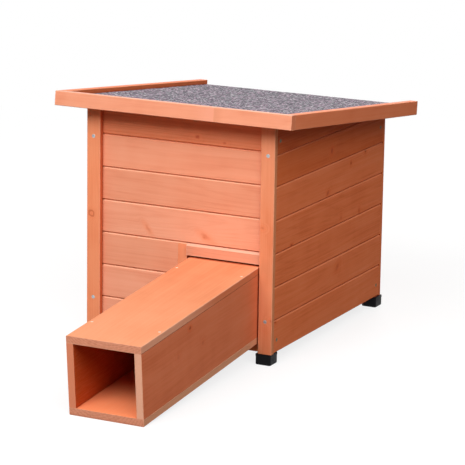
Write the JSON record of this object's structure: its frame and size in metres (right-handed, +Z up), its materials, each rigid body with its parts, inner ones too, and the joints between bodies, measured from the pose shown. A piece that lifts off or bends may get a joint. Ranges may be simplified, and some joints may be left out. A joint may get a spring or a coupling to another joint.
{
  "type": "hedgehog house",
  "caption": "Timber hedgehog house: matchboard box with a felted lift-up roof, sloping square entrance tunnel and black foot caps.",
  "frame": {"origin": "on the ground, under the middle of the whole part's box", "axes": "+Z up, -Y out of the tunnel's mouth, +X to the right seen from the front"},
  "size_m": [0.434, 0.894, 0.4279],
  "materials": {
    "stained_boards": "thin orange-brown stain, matt",
    "stained_trim": "thin orange-brown stain, matt, sawn edges",
    "tunnel_boards": "thin orange-brown stain, matt, sawn edges",
    "plain_timber": "unstained softwood and plywood",
    "mineral_felt": "bitumen felt with grey-purple mineral granules",
    "foot_plastic": "moulded black plastic",
    "zinc_steel": "zinc plated"
  },
  "bodies": {
    "house": {"front_board_1": "stained_boards", "front_board_2": "stained_boards", "front_board_3": "stained_boards", "front_board_4": "stained_boards", "front_board_5": "stained_boards", "front_board_6": "stained_boards", "front_board_7": "stained_boards", "door_lintel": "stained_boards", "door_sill": "stained_boards", "door_jamb": "stained_boards", "side_board_right_1": "stained_boards", "side_board_left_1": "stained_boards", "side_board_right_2": "stained_boards", "side_board_left_2": "stained_boards", "side_board_right_3": "stained_boards", "side_board_left_3": "stained_boards", "side_board_right_4": "stained_boards", "side_board_left_4": "stained_boards", "side_board_right_5": "stained_boards", "side_board_left_5": "stained_boards", "side_board_right_6": "stained_boards", "side_board_left_6": "stained_boards", "side_board_right_7": "stained_boards", "side_board_left_7": "stained_boards", "rear_board_1": "stained_boards", "rear_board_2": "stained_boards", "rear_board_3": "stained_boards", "rear_board_4": "stained_boards", "rear_board_5": "stained_boards", "rear_board_6": "stained_boards", "corner_post_front_right": "stained_trim", "corner_post_front_left": "stained_trim", "corner_post_rear_right": "stained_trim", "corner_post_rear_left": "stained_trim", "foot_caps": "foot_plastic", "floor_panel": "plain_timber", "floor_bearer_right": "plain_timber", "floor_bearer_left": "plain_timber", "front_cleat": "plain_timber", "corner_batten_right": "plain_timber", "corner_batten_left": "plain_timber", "roof_hinge_wall_leaves": "zinc_steel", "roof_hinge_pins": "zinc_steel", "post_screws": "zinc_steel", "side_wall_screws": "zinc_steel", "roof_hinge_wall_screws": "zinc_steel"},
    "roof": {"roof_fascia_front": "stained_trim", "roof_fascia_right": "stained_trim", "roof_fascia_left": "stained_trim", "roof_panel": "plain_timber", "roof_felt": "mineral_felt", "roof_batten_front": "plain_timber", "roof_batten_rear": "plain_timber", "roof_hinge_roof_leaves": "zinc_steel", "roof_hinge_roof_screws": "zinc_steel"},
    "tunnel": {"tunnel_bottom": "tunnel_boards", "tunnel_top": "tunnel_boards", "tunnel_side_left": "tunnel_boards", "tunnel_side_right": "tunnel_boards", "tunnel_nails": "zinc_steel"}
  },
  "joints": [
    {"name": "roof_hinge", "type": "hinge", "parent": "house", "child": "roof", "pos_m": [0, 0.40624, 0.35006], "axis": [-1, 0, 0], "range_deg": [0, 85]},
    {"name": "tunnel_slide", "type": "slide", "parent": "house", "child": "tunnel", "axis": [0, -1, 0], "range_m": [0, 0.06]}
  ]
}
